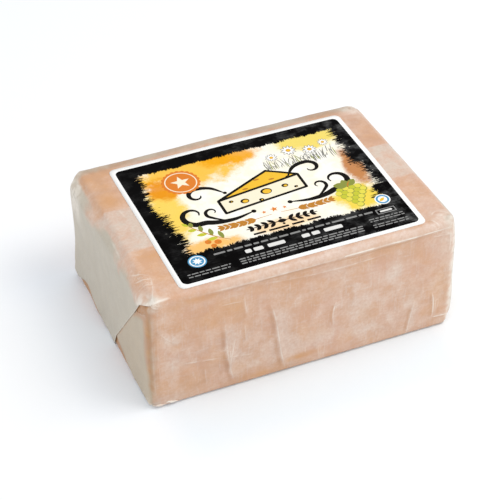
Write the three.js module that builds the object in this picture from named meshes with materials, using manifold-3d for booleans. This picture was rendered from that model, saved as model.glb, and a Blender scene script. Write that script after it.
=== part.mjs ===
// A whole block of washed-rind cheese, shut in waxed paper, with a large label on its top.
// Millimetres, +Z up. X runs along the length, -Y is the front, and the origin is at the bottom centre.

import Module from 'manifold-3d';
import * as THREE from 'three';
import { mergeVertices } from 'three/addons/utils/BufferGeometryUtils.js';

// Driving dimensions of the wrapped block
const LENGTH = 200;
const DEPTH = 139;
const TOP_HEIGHT = 82.6;
const EDGE_RADIUS = 4;

// How finely the block is divided, in cells along each side
const CELLS = { x: 26, y: 18, z: 13 };
const EDGE_CELLS = 2;

// The soft cheese under the paper: low waves on every face but the base, and loose bulges at its
// ends, -1 for the left one
const WAVE_HEIGHT = 0.3;
const FLAT_BASE_RISE = 8;
const BULGES = [
  { end: -1, y: 45, z: 74, halfWidth: 22, halfHeight: 20, rise: 1.3 },
  { end: -1, y: 66, z: 14, halfWidth: 24, halfHeight: 14, rise: 1.2 },
  { end: -1, y: -20, z: 6, halfWidth: 48, halfHeight: 14, rise: 0.4 },
  { end: 1, y: -45, z: 74, halfWidth: 22, halfHeight: 20, rise: 1.3 },
  { end: 1, y: -62, z: 25, halfWidth: 22, halfHeight: 15, rise: 1.4 },
];

// Slumped corners and edges, given by the length that each loses along X, Y and Z
const CUTS = [
  { side: [-1, 1, 1], cut: [7, 9, 13] },
  { side: [-1, -1, 1], cut: [5, 5, 5] },
  { side: [-1, -1, -1], cut: [5, 4, 7] },
  { side: [-1, 1, -1], cut: [2.5, 14, 6] },
  { side: [1, -1, 1], cut: [5, 7.5, 36] },
  { side: [1, -1, -1], cut: [6, 7, 16] },
  { side: [1, 1, 1], cut: [10, 10, 10] },
  { side: [-1, 0, 1], cut: [6.5, Infinity, 6.5] },
  { side: [1, 1, 1], cut: [5.7, 219, 5.7] },
];
const CUT_SOFTNESS = 0.3;

// Paper layers, much thicker than one sheet because they stand off the cheese
const FLAP_RELIEF = 1.3;
const LAYER_INSET = 0.05;

// The left flap's free edge, from the top front corner down to the base, as [y, z]
const FLAP_FOOT = 6;
const FLAP_EDGE = [[-69.5, TOP_HEIGHT], [-59, 75], [-11.5, 12.5], [-FLAP_FOOT, 0]];

// The shallow gap between the upper end of each flap's free edge and the side fold under it
const POCKET = { outline: [[-67, 75.5], [-62, 77.3], [-49.5, 62.5]], depth: 0.6 };

// The gap at the foot of each flap's free edge, down to the place end on the base
const FOOT_GAP = { apex: [-11.5, 12.5], end: -46, depth: 0.6 };

// The gap where the flap stops short of the base, along its lower edge
const BASE_GAP = {
  edge: [[64, 0], [62, 3], [55, 7], [51, 10], [44, 12], [36, 8.5], [27, 7.5], [18, 4.5], [10, 1.5], [6, 0]],
  depth: 0.6,
};

// The tongue of each flap, folded under the base, is outlined by a shallow groove
const TONGUE = { length: 16, near: 52, far: 38, grooveWidth: 0.8, grooveDepth: 0.4 };

// The sheet overlaps itself in a slightly slanted band along the top
const BAND = { leftNear: -22, leftFar: 20, rightNear: -17, rightFar: 18, rise: 0.4, end: 94 };

// The dog-ear at one base corner
const DOG_EAR = { reach: 1.2, height: 9, width: 7 };

// The label, with its clear gap to the paper under it
const LABEL = { length: 158.8, depth: 124.6, radius: 4, x: 1.8, y: -2.6, thickness: 0.4, gap: 0.3 };
const LABEL_CELLS = { x: 12, y: 20 };
const LABEL_REACH = 4.5;

// Folds of the paper on the front: points as [x, z], the height proud of the face, and the half width
const FRONT_FOLDS = [
  { points: [[-24, 60], [-19.5, 40], [-16.5, 17], [-12.6, 2]], rise: 0.9, half: 3.2 },
  { points: [[-52.5, 54], [-52, 38], [-50.5, 22], [-46, 3]], rise: 0.7, half: 2.6 },
  { points: [[20, 45], [17.8, 35], [18.9, 26]], rise: 0.5, half: 1.6 },
  { points: [[74, 28], [71, 16], [69, 4]], rise: 0.6, half: 2.4 },
  { points: [[86, 31], [87.5, 20], [86.5, 9]], rise: 0.6, half: 1.8 },
  { points: [[-94, 62], [-89, 52], [-81, 46]], rise: 0.5, half: 1.8 },
  { points: [[-79, 30], [-56, 26]], rise: 0.35, half: 1.2 },
  { points: [[-28, 79.6], [20, 79.2], [70, 78.2], [96, 77.4]], rise: 0.5, half: 1.6 },
  { points: [[-34, 76], [14, 70.8], [58, 72]], rise: 0.35, half: 1.5 },
];

// Folds on the hidden faces, drawn from a seeded rule like those of the front
const HIDDEN_FOLDS = { seed: 7, back: 7, end: 3, rise: 0.7, half: 2.4 };
const FOLD_STEPS = 8;
const FOLD_ROOT = 0.8;

const HALF = { x: LENGTH / 2, y: DEPTH / 2, z: TOP_HEIGHT / 2 };
const BEYOND = 20;

const manifold = await Module();
manifold.setup();

function toSolid(geometry) {
  const bare = geometry.clone();
  bare.deleteAttribute('normal');
  bare.deleteAttribute('uv');
  const merged = mergeVertices(bare, 1e-4);
  const mesh = new manifold.Mesh({
    numProp: 3,
    vertProperties: Float32Array.from(merged.getAttribute('position').array),
    triVerts: Uint32Array.from(merged.index.array),
  });
  return new manifold.Manifold(mesh);
}

function toGeometry(solid) {
  const mesh = solid.getMesh();
  const geometry = new THREE.BufferGeometry();
  geometry.setAttribute('position', new THREE.BufferAttribute(mesh.vertProperties, 3));
  geometry.setIndex(new THREE.BufferAttribute(mesh.triVerts, 1));
  geometry.computeVertexNormals();
  return geometry;
}

function seededRandom(seed) {
  let state = seed;
  return () => {
    state = (state * 1664525 + 1013904223) % 4294967296;
    return state / 4294967296;
  };
}

function smoothStep(from, to, value) {
  return THREE.MathUtils.smoothstep(value, from, to);
}

// Grid lines bunch at the edges so that each rounded edge gets an even fan of facets
function gridLine(t, cells, half, radius) {
  const index = Math.round((t + 1) / 2 * cells);
  const fromEdge = Math.min(index, cells - index);
  const side = index < cells / 2 ? -1 : 1;
  if (fromEdge <= EDGE_CELLS) {
    const angle = (EDGE_CELLS - fromEdge) / EDGE_CELLS * Math.PI / 4;
    return side * (half - radius + radius * Math.tan(angle));
  }
  const flat = half - radius;
  return THREE.MathUtils.mapLinear(index, EDGE_CELLS, cells - EDGE_CELLS, -flat, flat);
}

// Height of the slow waves at a place on the paper, in units of WAVE_HEIGHT
function wave(p) {
  const long = Math.sin(p.x / 23 + 1.3) * Math.cos(p.y / 19 + p.z / 17);
  const short = Math.sin(p.x / 11 - p.z / 9 + 0.4) * Math.sin(p.y / 12 + 2.1);
  return 0.65 * long + 0.35 * short;
}

// 0 below -softness, value above softness, and a smooth bend between
function softPart(value, softness) {
  const bend = (Math.max(value, -softness) + softness) ** 2 / (4 * softness);
  return value > softness ? value : bend;
}

// Moves a point near a slumped corner or edge straight in, onto its softly cut face
function slump(p, half) {
  for (const { side, cut } of CUTS) {
    const left = ['x', 'y', 'z'].map((axis, i) => (half[axis] - side[i] * p[axis]) / cut[i]);
    const missing = softPart(1 - left.reduce((sum, value) => sum + value, 0), CUT_SOFTNESS);
    const steepness = cut.reduce((sum, value) => sum + 1 / value ** 2, 0);
    p.x -= side[0] * missing / cut[0] / steepness;
    p.y -= side[1] * missing / cut[1] / steepness;
    p.z -= side[2] * missing / cut[2] / steepness;
  }
}

// How far the paper stands proud of an end, at a place on the block
function bulge(p, half) {
  const end = Math.max(0, Math.abs(p.x) - half.x + EDGE_RADIUS) / EDGE_RADIUS;
  const spots = BULGES.filter((spot) => spot.end * p.x > 0);
  const heights = spots.map(({ y, z, halfWidth, halfHeight, rise }) => {
    const along = (p.y - y) / halfWidth;
    const up = (p.z + half.z - z) / halfHeight;
    return rise * Math.exp(-(along ** 2) - up ** 2);
  });
  return end * Math.max(0, ...heights);
}

// One paper-wrapped block, centred at its own middle and then stood on z = 0
function blockSolid(half) {
  const geometry = new THREE.BoxGeometry(2, 2, 2, CELLS.x, CELLS.y, CELLS.z);
  const position = geometry.getAttribute('position');
  const p = new THREE.Vector3();
  const inner = new THREE.Vector3();
  const flat = new THREE.Vector3(half.x, half.y, half.z).subScalar(EDGE_RADIUS);
  for (let i = 0; i < position.count; i += 1) {
    p.fromBufferAttribute(position, i);
    p.x = gridLine(p.x, CELLS.x, half.x, EDGE_RADIUS);
    p.y = gridLine(p.y, CELLS.y, half.y, EDGE_RADIUS);
    p.z = gridLine(p.z, CELLS.z, half.z, EDGE_RADIUS);
    inner.copy(p).clamp(flat.clone().negate(), flat);
    const normal = p.clone().sub(inner).normalize();
    p.copy(inner).addScaledVector(normal, EDGE_RADIUS);
    const free = smoothStep(0, FLAT_BASE_RISE, p.z + half.z);
    p.addScaledVector(normal, WAVE_HEIGHT * wave(p) * free);
    p.x += Math.sign(p.x) * bulge(p, half);
    slump(p, half);
    position.setXYZ(i, p.x, p.y, p.z + half.z);
  }
  return toSolid(geometry);
}

// A prism along X whose outline is given as [y, z] points, between two X places
function prismAlongX(outline, from, to) {
  const shape = new THREE.Shape(outline.map(([y, z]) => new THREE.Vector2(y, z)));
  const geometry = new THREE.ExtrudeGeometry(shape, { depth: to - from, bevelEnabled: false });
  const axes = new THREE.Matrix4().set(0, 0, 1, from, 1, 0, 0, 0, 0, 1, 0, 0, 0, 0, 0, 1);
  geometry.applyMatrix4(axes);
  return toSolid(geometry);
}

// A prism along Z whose outline is given as [x, y] points, between two heights
function prismAlongZ(outline, from, to) {
  const shape = new THREE.Shape(outline.map(([x, y]) => new THREE.Vector2(x, y)));
  const geometry = new THREE.ExtrudeGeometry(shape, { depth: to - from, bevelEnabled: false });
  geometry.translate(0, 0, from);
  return toSolid(geometry);
}

// The right end is the left end turned half round the vertical axis
function onBothEnds(solid) {
  return [solid, solid.rotate([0, 0, 180])];
}

// What lies outside the left flap: the front triangle of the end, down past the base
function besideFlap() {
  const outside = [
    [-FLAP_FOOT, -BEYOND],
    [-HALF.y - BEYOND, -BEYOND],
    [-HALF.y - BEYOND, TOP_HEIGHT + BEYOND],
    [-HALF.y - 1, TOP_HEIGHT + BEYOND],
  ];
  return prismAlongX([...FLAP_EDGE, ...outside], -HALF.x - BEYOND, -HALF.x + FLAP_RELIEF + EDGE_RADIUS);
}

// The gap between the flap and the side fold, near the corner
function flapPocket() {
  return prismAlongX(POCKET.outline, -HALF.x - BEYOND, -HALF.x + FLAP_RELIEF + POCKET.depth);
}

// The gap between the foot of the flap and the slanting lower edge of the side fold
function footGap() {
  const { apex, end, depth } = FOOT_GAP;
  const outline = [apex, [end, 0], [end, -BEYOND], [-FLAP_FOOT - 1, -BEYOND], [-FLAP_FOOT - 1, 0]];
  return prismAlongX(outline, -HALF.x - BEYOND, -HALF.x + FLAP_RELIEF + depth);
}

function baseGap() {
  const { edge, depth } = BASE_GAP;
  const outline = [...edge, [edge.at(-1)[0], -BEYOND], [edge[0][0], -BEYOND]];
  return prismAlongX(outline, -HALF.x - BEYOND, -HALF.x + depth);
}

// The groove round the folded-under tongue of the left flap
function tongueGroove() {
  const { length, near, far, grooveWidth, grooveDepth } = TONGUE;
  const inset = EDGE_RADIUS + 1;
  const side = (grow) => [
    [-HALF.x + inset, near + grow],
    [-HALF.x + length + grow, far + grow],
    [-HALF.x + length + grow, -FLAP_FOOT - grow],
    [-HALF.x + inset, -FLAP_FOOT - 2 - grow],
  ];
  const outer = prismAlongZ(side(grooveWidth).reverse(), -BEYOND, grooveDepth);
  const kept = prismAlongZ(side(0).reverse(), -2 * BEYOND, BEYOND);
  return outer.subtract(kept);
}

// The overlap of the sheet on the top
function overlapBand() {
  const lift = BAND.rise;
  const raised = blockSolid(HALF).translate([0, 0, lift]);
  const outline = [
    [-BAND.end, BAND.leftNear],
    [BAND.end, BAND.rightNear],
    [BAND.end, BAND.rightFar],
    [-BAND.end, BAND.leftFar],
  ];
  return raised.intersect(prismAlongZ(outline, TOP_HEIGHT - 3, TOP_HEIGHT + BEYOND));
}

// A fold: a tapering ridge with one steep and one gentle side, rooted in the face.
// place(a, b, out) turns face coordinates and a height above the face into a point.
function foldSolid({ points, rise, half }, place) {
  const path = new THREE.SplineCurve(points.map(([a, b]) => new THREE.Vector2(a, b)));
  const vertices = [];
  for (let i = 0; i <= FOLD_STEPS; i += 1) {
    const t = i / FOLD_STEPS;
    const centre = path.getPoint(t);
    const direction = path.getTangent(t);
    const swell = Math.sin(Math.PI * (0.08 + 0.84 * t));
    const steep = half * 0.35 * swell;
    const gentle = half * swell;
    const out = rise * swell;
    vertices.push(place(centre.x - direction.y * -steep, centre.y + direction.x * -steep, -FOLD_ROOT));
    vertices.push(place(centre.x, centre.y, out));
    vertices.push(place(centre.x - direction.y * gentle, centre.y + direction.x * gentle, -FOLD_ROOT));
  }
  const index = [];
  for (let i = 0; i < FOLD_STEPS; i += 1) {
    for (let k = 0; k < 3; k += 1) {
      const a = 3 * i + k;
      const b = 3 * i + (k + 1) % 3;
      index.push(a, b, b + 3, a, b + 3, a + 3);
    }
  }
  const last = 3 * FOLD_STEPS;
  index.push(2, 1, 0, last, last + 1, last + 2);
  const geometry = new THREE.BufferGeometry();
  geometry.setAttribute('position', new THREE.Float32BufferAttribute(vertices.flat(), 3));
  geometry.setIndex(index);
  const solid = toSolid(geometry);
  if (solid.volume() > 0) {
    return solid;
  }
  geometry.setIndex(index.reverse());
  return toSolid(geometry);
}

const onFront = (a, b, out) => [a, -HALF.y - out, b];
const onBack = (a, b, out) => [-a, HALF.y + out, b];
const onRight = (a, b, out) => [HALF.x + out, a, b];

// Upright folds at even spacing, each moved, bent and sized by the seeded draw
function drawnFolds(count, width, random) {
  const folds = [];
  for (let i = 0; i < count; i += 1) {
    const middle = ((i + 0.3 + 0.4 * random()) / count - 0.5) * width;
    const low = 3 + 14 * random();
    const high = low + 22 + 30 * random();
    const bend = 10 * (random() - 0.5);
    const size = 0.5 + 0.5 * random();
    folds.push({
      points: [[middle, low], [middle + bend, (low + high) / 2], [middle + bend / 3, high]],
      rise: HIDDEN_FOLDS.rise * size,
      half: HIDDEN_FOLDS.half * size,
    });
  }
  return folds;
}

function allFolds() {
  const random = seededRandom(HIDDEN_FOLDS.seed);
  const back = drawnFolds(HIDDEN_FOLDS.back, LENGTH * 0.9, random);
  const end = drawnFolds(HIDDEN_FOLDS.end, DEPTH * 0.6, random);
  return [
    ...FRONT_FOLDS.map((fold) => foldSolid(fold, onFront)),
    ...back.map((fold) => foldSolid(fold, onBack)),
    ...end.map((fold) => foldSolid(fold, onRight)),
  ];
}

// A small folded tab that stands out at the back corner of the left end, on the base
function dogEar() {
  const { reach, height, width } = DOG_EAR;
  const x = -HALF.x;
  const y = HALF.y;
  const outline = [[y - width, 0.4], [y - 1.5, 0.4], [y - 2.5, height]];
  return prismAlongX(outline, x - reach, x + EDGE_RADIUS);
}

// How high the paper stands at a place on the top, with a smooth ramp beside the overlap
function paperTop(x, y) {
  const half = new THREE.Vector3(x, y, HALF.z);
  const share = THREE.MathUtils.mapLinear(x, -BAND.end, BAND.end, 0, 1);
  const near = THREE.MathUtils.lerp(BAND.leftNear, BAND.rightNear, share);
  const far = THREE.MathUtils.lerp(BAND.leftFar, BAND.rightFar, share);
  const outside = Math.max(near - y, y - far);
  const raised = BAND.rise * (1 - smoothStep(LABEL_REACH, 2 * LABEL_REACH, outside));
  return TOP_HEIGHT + WAVE_HEIGHT * wave(half) + raised;
}

// The label lies on the paper and follows it
function labelSolid() {
  const { length, depth, radius, thickness, gap } = LABEL;
  const sheet = new THREE.BoxGeometry(length + 2, depth + 2, thickness, LABEL_CELLS.x, LABEL_CELLS.y, 1);
  sheet.translate(LABEL.x, LABEL.y, 0);
  const position = sheet.getAttribute('position');
  for (let i = 0; i < position.count; i += 1) {
    const x = position.getX(i);
    const y = position.getY(i);
    position.setZ(i, position.getZ(i) + thickness / 2 + gap + paperTop(x, y));
  }
  const w = length / 2;
  const d = depth / 2;
  const outline = new THREE.Shape();
  outline.absarc(w - radius, d - radius, radius, 0, Math.PI / 2);
  outline.absarc(-w + radius, d - radius, radius, Math.PI / 2, Math.PI);
  outline.absarc(-w + radius, -d + radius, radius, Math.PI, 1.5 * Math.PI);
  outline.absarc(w - radius, -d + radius, radius, 1.5 * Math.PI, 2 * Math.PI);
  outline.closePath();
  const points = outline.getPoints(6).map((v) => [v.x + LABEL.x, v.y + LABEL.y]);
  return toSolid(sheet).intersect(prismAlongZ(points, TOP_HEIGHT - BEYOND, TOP_HEIGHT + BEYOND));
}

// The layer that shows beside each flap: the end of a block that is a little smaller all round
function underLayers() {
  const half = {
    x: HALF.x - FLAP_RELIEF,
    y: HALF.y - LAYER_INSET,
    z: HALF.z - LAYER_INSET,
  };
  const under = blockSolid(half).translate([0, 0, LAYER_INSET]);
  const wide = DEPTH;
  const high = TOP_HEIGHT + BEYOND;
  const outline = [[-wide, -BEYOND], [wide, -BEYOND], [wide, high], [-wide, high]];
  const room = prismAlongX(outline, -HALF.x - BEYOND, -HALF.x + FLAP_RELIEF + EDGE_RADIUS + 1);
  return onBothEnds(room).map((end) => under.intersect(end));
}

function wrappedBlock() {
  let solid = blockSolid(HALF);
  for (const cut of onBothEnds(besideFlap())) {
    solid = solid.subtract(cut);
  }
  for (const layer of underLayers()) {
    solid = solid.add(layer);
  }
  solid = solid.add(overlapBand());
  for (const fold of allFolds()) {
    solid = solid.add(fold);
  }
  solid = solid.add(dogEar());
  const cuts = [flapPocket(), footGap(), baseGap(), tongueGroove()];
  for (const cut of cuts.flatMap(onBothEnds)) {
    solid = solid.subtract(cut);
  }
  return solid;
}

function namedMesh(name, solid, colour, roughness) {
  const material = new THREE.MeshStandardMaterial({ color: colour, roughness, metalness: 0 });
  const mesh = new THREE.Mesh(toGeometry(solid), material);
  mesh.name = name;
  return mesh;
}

const cheese = new THREE.Group();
cheese.add(namedMesh('wrapped_cheese', wrappedBlock(), 0xd9ad8c, 0.5));
cheese.add(namedMesh('label', labelSolid(), 0x1c1b1a, 0.35));

export default cheese;
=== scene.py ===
"""A whole block of washed-rind cheese, shut in waxed paper, with a large label on its top.

The shapes are worked out in millimetres, in the frame's axes: X along the length, -Y the front, +Z up.
The paper is a skin round the cheese, with the folded ends laid over it, and the label lies on the paper.
"""

import math
from itertools import pairwise, product

import bpy
import numpy as np
from mathutils import Matrix, Vector
from mathutils.geometry import delaunay_2d_cdt


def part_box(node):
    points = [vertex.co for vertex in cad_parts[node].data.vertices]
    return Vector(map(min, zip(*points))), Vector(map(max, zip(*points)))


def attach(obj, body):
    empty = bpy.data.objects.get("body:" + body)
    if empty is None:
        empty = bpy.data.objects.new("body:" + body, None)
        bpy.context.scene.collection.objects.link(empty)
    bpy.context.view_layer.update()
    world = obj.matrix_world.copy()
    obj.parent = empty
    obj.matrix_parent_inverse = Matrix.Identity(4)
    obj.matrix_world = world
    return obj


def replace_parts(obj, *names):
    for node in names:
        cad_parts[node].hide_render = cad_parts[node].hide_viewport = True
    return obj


MM = 0.001

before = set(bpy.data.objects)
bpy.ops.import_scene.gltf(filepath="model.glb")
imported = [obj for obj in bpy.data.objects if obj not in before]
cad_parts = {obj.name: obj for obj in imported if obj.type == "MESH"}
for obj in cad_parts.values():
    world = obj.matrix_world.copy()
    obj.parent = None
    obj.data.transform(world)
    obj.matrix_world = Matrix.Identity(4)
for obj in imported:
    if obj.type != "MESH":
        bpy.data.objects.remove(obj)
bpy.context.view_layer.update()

# The wrapped block, as it stands in the frame: its solid's box, less what bulges and folds add to it
END_REACH = 1.28
FOLD_REACH = 0.75
LOW, HIGH = (np.array(corner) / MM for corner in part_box("wrapped_cheese"))
LENGTH = HIGH[0] - LOW[0] - 2 * END_REACH
DEPTH = HIGH[1] - LOW[1] - 2 * FOLD_REACH
TOP = 82.7
EDGE_RADIUS = 4.0
BASE_RADIUS = 3.0
HALF = np.array([LENGTH / 2, DEPTH / 2, TOP / 2])
LEFT, FRONT, BACK = -HALF[0], -HALF[1], HALF[1]

# The soft cheese under the paper: low waves, and loose bulges on its ends. A bulge has its end, -1 for
# the left one, its place (y, z), its half sizes and its rise.
WAVE_HEIGHT = 0.3
FLAT_BASE_RISE = 8.0
BULGES = (
    (-1, (45, 74), (22, 20), 1.3),
    (-1, (66, 16), (20, 13), 1.2),
    (-1, (25, 6), (13, 11), 1.3),
    (-1, (-32, 6), (36, 14), 0.8),
    (1, (-45, 74), (22, 20), 1.3),
    (1, (-62, 18), (22, 18), 1.75),
    (1, (-62, 45), (20, 14), 0.7),
)

# Slumped corners and edges, by the length that each loses along X, Y and Z
CUTS = (
    ((-1, 1, 1), (7, 9, 13)),
    ((-1, -1, 1), (5, 5, 5)),
    ((-1, -1, -1), (10, 5, 6)),
    ((-1, 1, -1), (4, 15, 6)),
    ((1, -1, 1), (4.5, 7, 24)),
    ((1, -1, -1), (4.5, 5.5, 12)),
    ((1, 1, 1), (10, 10, 10)),
    ((-1, 0, 1), (6.5, math.inf, 6.5)),
    ((1, 1, 1), (5.7, 219, 5.7)),
)
CUT_SOFTNESS = 0.3

# The overlap of the sheet on the top, from its near edge to its far one, at each end of the block
BAND_NEAR = (-22.0, -17.0)
BAND_FAR = (20.0, 18.0)
BAND_RISE = 0.16

# The flap that closes each end, as (y, z) on the left one: its free edge, and the gap under it
FLAP_EDGE = ((-69.5, 83), (-59, 75), (-11.5, 12.5), (-6, 0))
FLAP_GAP = (
    (71, 2.8), (66, 3), (62, 4.3), (59, 5.5), (55, 7.5), (51, 10),
    (44, 12), (36, 8.5), (27, 7.5), (18, 4.5), (10, 1.5), (6, 0),
)

# The side fold under the flap: its upper edge, from the upright edge to the flap's free edge, and
# its slanting lower edge, from the flap down to the base
SIDE_UPPER = ((-69.5, 75), (-50, 62.5))
SIDE_LOWER = ((-46, 0), (-11.5, 12.5))

# The strip beside the upright front edge where the paper clings: the places y of its edge by height
STRIP_EDGE = ((0, -71), (9, -70), (24, -67), (39, -62), (70, -61.5), (83, -65))

# How deep the end lies back in the gaps between its folds, how thick the laid sheets are, how far
# they run on over the edges of the end, and how high the paper stays above the floor
GAP_DEPTH = 0.3
PAPER_THICKNESS = 0.18
FLAP_RUN_ON = 7
SIDE_RUN_ON = 3
BASE_CLEARANCE = 0.3
SHEET_CLEARANCE = 0.03

# The side fold: how far above the base it starts, the place y where it ends under the flap, and how far
# it runs on under the flap's free edge
SIDE_LOWEST = 0.5
SIDE_LAST = -4
UNDER_FLAP = 7

# Where along the noise each end reads its own, the left one first
FLAP_NOISE_AT = (0, 130)
SIDE_NOISE_AT = (20, 160)

# The tongue under the base: how far in it starts and how long it is, the place y of its back corner and
# how far that comes forward, and its height, thickness and curl
TONGUE_START, TONGUE_LENGTH = 3, 15
TONGUE_BACK, TONGUE_TAPER = 52, 14
TONGUE_HEIGHT, TONGUE_THICKNESS, TONGUE_CURL = 0.05, 0.16, 0.6

# The left flap's loose corner at the base: its place (y, z), half sizes and rise
LOOSE_CORNER = ((70, 0), (5, 9))
LOOSE_CORNER_RISE = 1.6

# The grids of the paper's pieces: cells along X, Y and Z, and rows by columns
WRAP_CELLS = (184, 128, 76)
FLAP_GRID = (100, 104)
SIDE_FOLD_GRID = (84, 66)
TONGUE_GRID = (14, 30)
CRIMP_GRID = (40, 10)

# The label
LABEL_SIZE = (158.8, 124.6)
LABEL_MIDDLE = (1.8, -2.6)
LABEL_RADIUS = 4.0
LABEL_BORDER = 3.1
LABEL_THICKNESS = 0.16
LABEL_GAP = 0.12

# How the label is cut into faces: its grid, how near points are joined, and the least area of a face
LABEL_GRID_REACH = (76, 58)
LABEL_STEP = 4.0
JOIN_WITHIN = 1e-4
LEAST_AREA = 1e-7

# Folds on the front: points along the crest as (x, z), rise, the widths of the lower or left side and
# of the other one, and how white the crest is, partly the paper's own whitening and partly a painted
# highlight
FRONT_FOLDS = (
    (((-24, 60), (-19.5, 40), (-16.5, 17), (-12.6, 1)), 1.4, 1.5, 5.6, 0.55),
    (((-52.5, 54), (-52, 38), (-50.5, 22), (-46, 2)), 1.1, 1.4, 4.2, 0.4),
    (((-46, 40), (-48.5, 28), (-50.5, 12)), 0.6, 1.0, 2.2, 0.45),
    (((20, 45), (17.8, 35), (18.9, 26)), 0.45, 0.8, 1.4, 0.8),
    (((30.7, 58), (31.5, 37)), 0.3, 0.8, 2.4, 0.0),
    (((85.8, 30), (87.3, 18), (87, 9)), 0.6, 0.9, 1.6, 0.7),
    (((73.5, 26), (71.5, 16), (69.5, 1)), 0.8, 1.0, 2.6, 0.35),
    (((88, 9.3), (97.5, 8.6)), 0.5, 0.7, 1.0, 0.9),
    (((94.5, 77), (95.5, 68), (95, 60)), 0.3, 0.7, 1.0, 0.5),
    (((83, 74.6), (98, 73.4)), 0.25, 0.7, 1.0, 0.4),
    (((-94.5, 62.5), (-89.5, 54), (-81, 46)), 0.5, 0.9, 2.0, 0.2),
    (((-80, 30.6), (-57, 26.8)), 0.25, 0.7, 1.0, 0.5),
    (((-49, 26), (-36, 22.5)), 0.25, 0.7, 1.0, 0.45),
    (((-74, 79.4), (-40, 79.0), (-6, 78.9), (28, 78.2), (62, 78.4), (98, 77.9)), 1.1, 1.0, 3.2, 0.0),
    (((-74, 79.4), (-30, 79.1), (24, 78.5)), 0.1, 1.0, 1.4, 0.5),
    # The crease along the top of the front is whitest, partly as a painted highlight along that edge
    (((14, 78.8), (62, 78.9), (99, 78.3)), 0.2, 1.0, 1.8, 1.3),
    (((-36, 76.4), (14, 70.8), (58, 72)), 0.25, 0.9, 1.6, 0.4),
    (((-97, 78), (-97.7, 45), (-96.6, 6)), 0.3, 0.9, 1.4, 0.1),
    (((-93.6, 70), (-94.6, 40), (-93, 14)), 0.2, 0.8, 1.2, 0.1),
    (((-98.5, 81.4), (-85, 82.0)), 0.4, 0.6, 0.9, 0.6),
    (((-98, 80.4), (-93.5, 78)), 0.3, 0.6, 0.9, 0.5),
    (((-66, 22), (-64.5, 9)), 0.25, 0.7, 1.3, 0.3),
    (((-40, 48), (-39, 33)), 0.25, 0.7, 1.5, 0.3),
)
# Folds on the top near its front corners, as (x, y from the front), in the same way
TOP_FOLDS = (
    (((-97.4, 32.6), (-93.5, 27), (-89.2, 23.4)), 0.12, 0.5, 0.9, 0.45),
    (((-98.6, 26), (-94, 22.3), (-89.4, 20.6)), 0.12, 0.5, 0.9, 0.5),
    (((-98.8, 17.4), (-95, 17.6), (-91, 15.2)), 0.12, 0.5, 0.9, 0.4),
    (((-89.6, 22.5), (-91.8, 12), (-96.4, 2)), 0.25, 0.6, 1.4, 0.4),
    (((-97.2, 68), (-97.4, 59), (-97.8, 48)), 0.15, 0.5, 1.2, 0.4),
    (((86, 9.4), (92.4, 11.9), (98.5, 5.5)), 0.35, 0.8, 1.4, 0.6),
    (((83.5, 6), (85.6, 3), (87, 1)), 0.3, 0.7, 1.0, 0.45),
)
CREST_ROUND = 0.5

# What counts as far from any crease, and how far from a corner the paper is crumpled
FAR_FROM_CREASE = 9.0
CRUMPLE_REACH = 9.0

# Folds on the hidden faces follow the same seeded rule as the solid's
HIDDEN_FOLDS = {"seed": 7, "back": 7, "end": 3, "rise": 0.7, "half": 2.4}

# Where the paper on the front clings or stands off: middle (x, z), half sizes, lift, tan and pale
FRONT_PATCHES = (
    ((-66, 77), (12, 3), -0.3, 0.7, 0),
    ((-4, 9.5), (12, 2.4), -0.3, 0.85, 0),
    ((-30, 4), (20, 3), -0.2, 0.4, 0),
    ((-86, 31), (5, 4), 0.5, 0, 0.25),
    ((57, 55), (4, 5), 0.5, 0, 0.3),
    ((36, 33), (8, 6), 0.35, 0, 0.1),
    ((9, 22), (9, 4), 0.4, 0, 0.1),
    ((40, 15), (8, 3), 0.35, 0, 0.15),
    ((71, 26), (6, 8), 0.35, 0, 0.1),
    ((-34, 14), (4, 2.5), 0.4, 0, 0.3),
    ((-97, 42), (5, 42), -0.35, 0.2, 0),
    ((92, 45), (5, 40), 0.25, 0.1, 0.08),
    ((-55, 62), (26, 14), -0.25, 0.15, 0),
    ((-76, 12), (20, 10), 0.0, 0.15, 0),
    ((-92, 4), (9, 5), 0.5, -0.3, 0.1),
    ((56, 78.8), (34, 1.8), 0.3, 0, 0.06),
    ((-87, 51), (6, 4), 0.4, 0, 0.2),
    ((96, 76), (4, 7), 0.3, -0.2, 0.3),
    ((20, 30), (46, 22), 0.15, -0.1, 0),
    ((35, 76), (40, 4), -0.15, 0.2, 0),
)

# The same on the top, by (x, y)
TOP_PATCHES = (
    ((-87, 30), (8, 10), -0.3, 0.75, 0),
    ((-86, 50), (9, 12), -0.2, 0.35, 0),
    ((-82, -29), (8, 7), -0.3, 0.8, 0),
    ((-84, -46), (9, 10), -0.1, 0.4, 0),
    ((0, 65), (90, 4), 0.1, 0.1, 0),
    ((90, 40), (9, 22), -0.1, 0.3, 0),
    ((90, -30), (7, 8), 0.05, 0.2, 0),
    ((88, -52), (9, 10), 0.15, 0.0, 0),
    ((40, -68), (60, 3), 0.3, -0.2, 0),
    ((94, -64), (7, 6), 0.4, -0.3, 0.35),
    ((92, 62), (6, 7), 0.4, -0.5, 0.35),
)


def smooth(low, high, value):
    """0 below low and 1 above high, with an even curve between."""
    t = np.clip((value - low) / (high - low), 0, 1)
    return t * t * (3 - 2 * t)


def bell(x):
    """1 at 0, and soon 0 on both sides."""
    return np.exp(-(x**2))


def spot(places, middle, size):
    """The same round a middle, with a half size along each axis."""
    return np.exp(-(((places - middle) / size) ** 2).sum(-1))


def value_noise(points, size, seed):
    """Smooth noise between -1 and 1, with cells of that size, at an array of points."""
    table = np.random.default_rng(seed).uniform(-1, 1, (32, 32, 32))
    low = np.floor(points / size).astype(int)
    t = points / size - low
    t = t * t * (3 - 2 * t)
    total = np.zeros(len(points))
    for corner in product((0, 1), repeat=3):
        x, y, z = ((low + corner) % 32).T
        total += np.prod(np.where(corner, t, 1 - t), axis=1) * table[x, y, z]
    return total


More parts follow.
